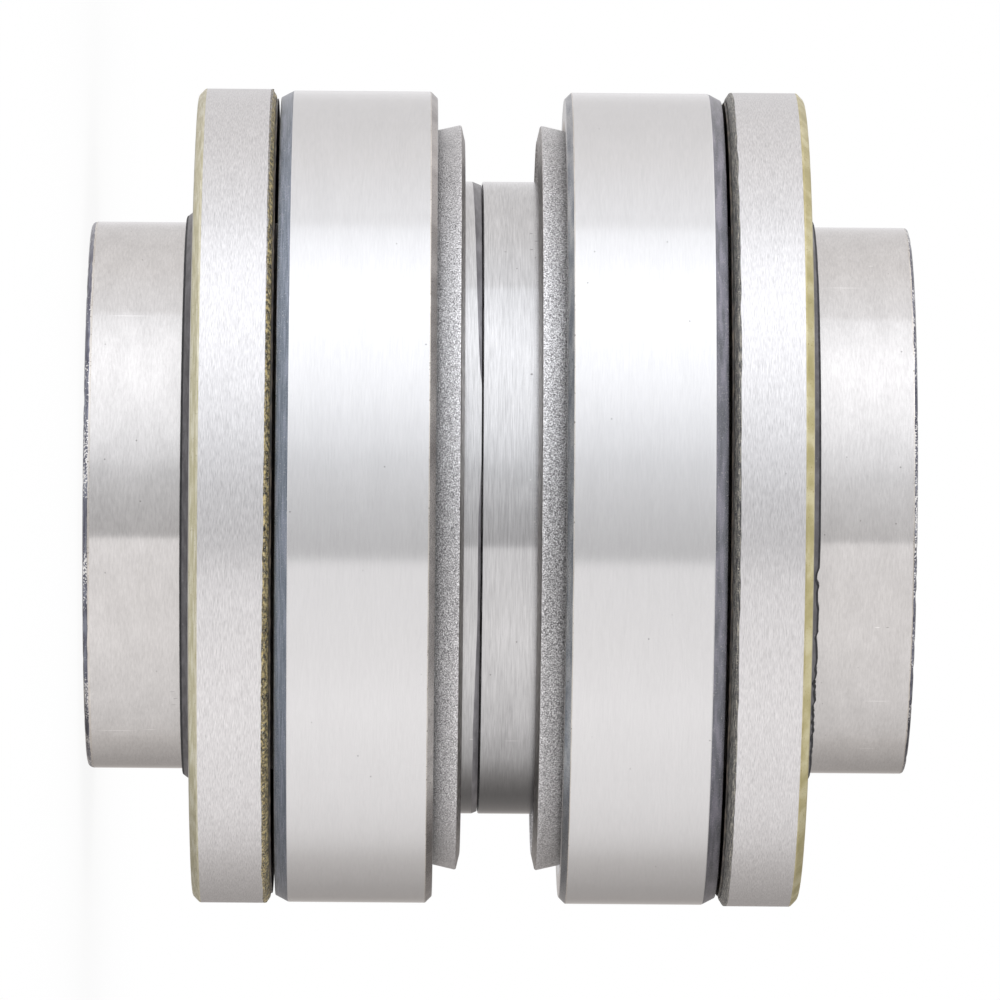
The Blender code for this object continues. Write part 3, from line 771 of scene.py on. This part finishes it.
# torn: turns is where the ragged stretch lies, in degrees, and it fades at both ends. bites,
# nicks and fine are lengths of bumps in degrees, and even is the fine bumps' height in mm.
sealLip = dict(face=48.5, heelTop=51.72, lipEdge=44.05, tip=50.1, tipWall=0.6,
               tipSlope=(0.35, 0.26), dustLipTop=45.85, relief=(43.6, 45.25), sealEdge=41.2,
               front=38.9, frontRadius=45.55, headTop=46.65, springSeat=(40.8, 45.85),
               heel=(46.4, 46.75), groove=(48.6, 49.6, 0.3), grooveSlope=0.25,
               torn=dict(depth={"lower": 0.0, "upper": 0.9}, turns=(285, 335), reach=1.2,
                         fade=4, edge=0.6, bites=1.6, nicks=0.8, nickShare=0.5, fine=2.0,
                         even=0.04))
for side in rows:
    shape = sealLip
    face, tip, lipEdge = shape["face"], shape["tip"], shape["lipEdge"]
    tipTop = lipEdge + shape["tipWall"]
    tipBack, tipRise = shape["tipSlope"]
    grooveIn, grooveOut, grooveDepth = shape["groove"]
    slope = shape["grooveSlope"]
    rubber, tornEdge = "mouldedNitrileRubber", "tornNitrileRubber"
    corners = [
        (face, shape["heelTop"], 0.1, rubber),
        (face, grooveOut, 0.15, rubber),
        (face - grooveDepth, grooveOut - slope, 0.1, rubber),
        (face - grooveDepth, grooveIn + slope, 0.1, rubber),
        (face, grooveIn, 0.15, rubber),
        (face, shape["dustLipTop"], 0.3, rubber),
        (tip - tipBack, tipTop + tipRise, 0, tornEdge),
        (tip, tipTop, 0.15, tornEdge),
        (tip, lipEdge, 0.1, rubber),
        (*shape["relief"], 0.5, rubber),
        (shape["sealEdge"], lipEdge, 0.05, rubber),
        (shape["front"], shape["frontRadius"], 0.2, rubber),
        (shape["front"], shape["headTop"], 0.3, rubber),
        (*shape["springSeat"], 0.4, rubber),
        (*shape["heel"], 0.6, rubber),
        (shape["heel"][0], shape["heelTop"], 0.2, rubber),
    ]
    torn = shape["torn"]

    def raggedEdge(out, radius, turn):
        # one stretch of the upper dust lip's edge is ragged and lacks bites of up to 0.5 mm
        if out < tip - torn["edge"]:
            return 0, 0
        start, end = torn["turns"]
        aside = 2 * abs(math.degrees(turn) - (end + start) / 2) / (end - start)
        fade = min(1, max(0, torn["reach"] - aside) * torn["fade"])
        bite = (max(0, ripple(turn, 3, torn["bites"]))
                + torn["nickShare"] * abs(ripple(turn, 9, torn["nicks"])))
        fine = torn["even"] * abs(ripple(turn, 5 * rows[side], torn["fine"]))
        return -torn["depth"][side] * fade * bite - fine, 0

    ring = turnRing(f"{side}_sealLip_moulded", side, corners, raggedEdge)
    mount(ring, f"{side}_seal", f"{side}_seal_lip")

# Garter springs: a close coil of thin wire joined into a ring, in its seat over the lip.
spring = dict(out=41.6, radius=47.25, coil=0.62, wire=0.17, pitch=0.5, pointsPerTurn=8)
for side in rows:
    shape = spring
    turns = round(math.tau * shape["radius"] / shape["pitch"])
    count = turns * shape["pointsPerTurn"]
    wire = bpy.data.curves.new(f"{side}_garterSpring_wire", "CURVE")
    wire.dimensions = "3D"
    wire.bevel_depth = shape["wire"] * mm
    wire.bevel_resolution = 0
    line = wire.splines.new("POLY")
    line.points.add(count - 1)
    line.use_cyclic_u = True
    for index, point in enumerate(line.points):
        turn = math.tau * index / count
        coilTurn = math.tau * index / shape["pointsPerTurn"]
        radius = (shape["radius"] + shape["coil"] * math.cos(coilTurn)) * mm
        height = midHeight + rows[side] * (shape["out"] + shape["coil"] * math.sin(coilTurn)) * mm
        point.co = (radius * math.cos(turn), radius * math.sin(turn), height, 1)
    wire.materials.append(materials["drawnSpringWire"])
    coil = addObject(f"{side}_garterSpring_coiled", wire)
    mount(coil, f"{side}_seal", f"{side}_garter_spring")
print("seals pressed, moulded and sprung")

# Studio: a white sweep all round, a pale floor, and a cloth tent that the metal reflects.
# Each stop is (degrees round from the camera towards the picture's top, brightness, warmth),
# and 1 is the level at which a colour renders as written. Each of the shares is (degrees, share
# of that brightness at the tent's ends, share at the level of the camera, which shows dark in
# the ground steel). The ends are dimmer below the camera and brighter above it. Each share
# fades between its From and its To, in metres from the brightest level.
tent = dict(radius=2.4, height=4.6, sides=96, peak=1.7, endFrom=0.35, endTo=1.3,
            brightest=-0.15, cameraFrom=0.22, cameraTo=0.42, green=0.985, stops=(
    (-180, 0.74, 0.04), (-168, 0.43, 0.05), (-159, 0.38, 0.05), (-145, 0.45, 0.04),
    (-133, 0.56, 0.035), (-123, 0.68, 0.03), (-115, 0.85, 0.02), (-107, 0.97, 0.015),
    (-94, 1.08, 0.012), (-61, 1.21, 0.01), (-42, 1.15, 0.01), (-33, 1.14, 0.008),
    (-18.7, 1.12, 0.005), (-16.7, 0.90, 0.0), (-14.0, 0.88, 0.0), (-4, 0.95, -0.008),
    (3, 1.03, -0.012), (9, 1.07, -0.018), (20, 1.18, -0.022), (27, 1.28, -0.022),
    (36, 1.37, -0.022), (54, 1.52, -0.022), (64, 1.48, -0.022), (74, 1.37, -0.02),
    (80.8, 1.29, -0.018), (82.2, 1.13, -0.01), (99, 1.04, 0.0), (110, 0.98, 0.008),
    (128, 0.91, 0.01), (150, 0.85, 0.008), (168, 0.88, 0.0), (180, 0.74, 0.0)), shares=(
    (-180, 0.50, 1.0), (-128, 0.54, 1.0), (-112, 0.62, 1.0), (-18.4, 0.62, 1.0),
    (-16.4, 0.66, 0.70), (5, 1.0, 0.71), (10, 1.05, 0.77), (16, 1.1, 0.93), (25, 1.15, 1.0),
    (36, 1.3, 1.0), (128, 1.32, 1.0), (180, 0.50, 1.0)))


def tentMaterial(shape):
    material = startMaterial("backlitTentCloth")
    tree = material.node_tree
    place = addNode(tree, "ShaderNodeTexCoord").outputs["Object"]
    flipped = addNode(tree, "ShaderNodeVectorMath", {"operation": "SCALE", "Scale": -1.0},
                      {0: place})
    parts = addNode(tree, "ShaderNodeSeparateXYZ", {}, {"Vector": flipped.outputs["Vector"]})
    turn = addNode(tree, "ShaderNodeMath", {"operation": "ARCTAN2"},
                   {0: parts.outputs["X"], 1: parts.outputs["Y"]})
    share = addNode(tree, "ShaderNodeMapRange",
                    {"From Min": -math.pi, "From Max": math.pi}, {"Value": turn.outputs[0]})
    cloth = addNode(tree, "ShaderNodeValToRGB", {}, {"Fac": share.outputs[0]})
    stops = []
    for degrees, level, warmth in shape["stops"]:
        level /= shape["peak"]
        stops.append(((degrees + 180) / 360, (level * (1 + warmth), level * shape["green"],
                                              level * (1 - warmth), 1.0)))
    setStops(cloth, stops)
    aside = addNode(tree, "ShaderNodeMath", {"operation": "ADD", 1: shape["brightest"]},
                    {0: parts.outputs["Z"]})
    reach = addNode(tree, "ShaderNodeMath", {"operation": "ABSOLUTE"}, {0: aside.outputs[0]})
    shares = addNode(tree, "ShaderNodeValToRGB", {}, {"Fac": share.outputs[0]})
    setStops(shares, [((degrees + 180) / 360, (end / 2, middle / 2, 0.0, 1.0))
                      for degrees, end, middle in shape["shares"]])
    either = addNode(tree, "ShaderNodeSeparateColor", {}, {"Color": shares.outputs[0]})
    ends = addNode(tree, "ShaderNodeMapRange",
                   {"From Min": shape["endFrom"], "From Max": shape["endTo"]},
                   {"Value": reach.outputs[0]})
    middle = addNode(tree, "ShaderNodeMapRange",
                     {"From Min": shape["cameraFrom"], "From Max": shape["cameraTo"],
                      "To Min": 1.0, "To Max": 0.0}, {"Value": reach.outputs[0]})
    outer = addNode(tree, "ShaderNodeMix", {"A": 0.5},
                    {"Factor": ends.outputs[0], "B": either.outputs["Red"]})
    inner = addNode(tree, "ShaderNodeMix", {},
                    {"Factor": middle.outputs[0], "A": outer.outputs[0],
                     "B": either.outputs["Green"]})
    strength = addNode(tree, "ShaderNodeMath", {"operation": "MULTIPLY", 1: 2 * shape["peak"]},
                       {0: inner.outputs[0]})
    glow = addNode(tree, "ShaderNodeEmission", {},
                   {"Color": cloth.outputs[0], "Strength": strength.outputs[0]})
    addNode(tree, "ShaderNodeOutputMaterial", {}, {"Surface": glow.outputs[0]})
    return material


floor = dict(radius=1.2, sides=96, below=0.05, whiteShare=0.9, shadowReach=0.35,
             shadowCore=0.3)


def floorMaterial(shape):
    # white vinyl: to the camera mostly the plain backdrop's white, so that its shadow shows
    # softly near the bearing and its edge not at all. From below it is clear as glass.
    material = startMaterial("matVinylFloor")
    tree = material.node_tree
    place = addNode(tree, "ShaderNodeTexCoord").outputs["Object"]
    away = addNode(tree, "ShaderNodeVectorMath", {"operation": "LENGTH"}, {0: place})
    reach = shape["shadowReach"]
    whiteShare = addNode(tree, "ShaderNodeMapRange",
                         {"From Min": reach * shape["shadowCore"], "From Max": reach,
                          "To Min": shape["whiteShare"], "To Max": 1.0},
                         {"Value": away.outputs["Value"]})
    rays = addNode(tree, "ShaderNodeLightPath")
    seen = addNode(tree, "ShaderNodeMath", {"operation": "MULTIPLY"},
                   {0: rays.outputs["Is Camera Ray"], 1: whiteShare.outputs[0]})
    matt = addNode(tree, "ShaderNodeBsdfDiffuse", {"Color": hexColour("#fbfbfb")})
    white = addNode(tree, "ShaderNodeEmission", {"Color": (1, 1, 1, 1), "Strength": 1.0})
    mixed = addNode(tree, "ShaderNodeMixShader", {},
                    {0: seen.outputs[0], 1: matt.outputs[0], 2: white.outputs[0]})
    clear = addNode(tree, "ShaderNodeBsdfTransparent")
    side = addNode(tree, "ShaderNodeNewGeometry")
    facing = addNode(tree, "ShaderNodeMixShader", {},
                     {0: side.outputs["Backfacing"], 1: mixed.outputs[0], 2: clear.outputs[0]})
    addNode(tree, "ShaderNodeOutputMaterial", {}, {"Surface": facing.outputs[0]})
    return material


def stagePiece(name, bm, material):
    mesh = bpy.data.meshes.new(name)
    bm.to_mesh(mesh)
    bm.free()
    mesh.materials.append(material)
    piece = addObject(name, mesh)
    return piece


bm = bmesh.new()
bmesh.ops.create_cone(bm, cap_ends=False, segments=tent["sides"], radius1=tent["radius"],
                      radius2=tent["radius"], depth=tent["height"])
lightTent = stagePiece("lightTent", bm, tentMaterial(tent))
lightTent.visible_camera = False
bm = bmesh.new()
bmesh.ops.create_circle(bm, cap_ends=True, segments=floor["sides"], radius=floor["radius"])
bmesh.ops.translate(bm, verts=bm.verts, vec=(0, 0, cadBox[0].z - floor["below"] * mm))
studioFloor = stagePiece("studioFloor", bm, floorMaterial(floor))
studioFloor.visible_glossy = False  # the hubs are bright enough to mirror the tent only

world = bpy.data.worlds.new("whiteSweep")
bpy.context.scene.world = world
world.use_nodes = True
background = world.node_tree.nodes["Background"].inputs
background["Color"].default_value = (1, 1, 1, 1)
background["Strength"].default_value = 1.0

# Camera: a long lens, looking along +Y with the picture's up at -X.
view = dict(distance=1.70, height=0.0493, lens=381.7, sensor=36, clipEnd=20,
            lookAt=(0.00034, 0, 0.06566), roll=0.45)
camera = addObject("camera", bpy.data.cameras.new("camera"))
camera.data.lens = view["lens"]
camera.data.sensor_width = view["sensor"]
camera.data.clip_end = view["clipEnd"]
eye = Vector((0, -view["distance"], view["height"]))
forward = (Vector(view["lookAt"]) - eye).normalized()
across = forward.cross(Vector((-1, 0, 0))).normalized()
upward = across.cross(forward)
roll = math.radians(view["roll"])
right = across * math.cos(roll) + upward * math.sin(roll)
up = upward * math.cos(roll) - across * math.sin(roll)
turned = Matrix((right, up, -forward)).transposed().to_4x4()
camera.matrix_world = Matrix.Translation(eye) @ turned
bpy.context.scene.camera = camera
bpy.context.scene.view_settings.view_transform = "Standard"
print("studio and camera set")
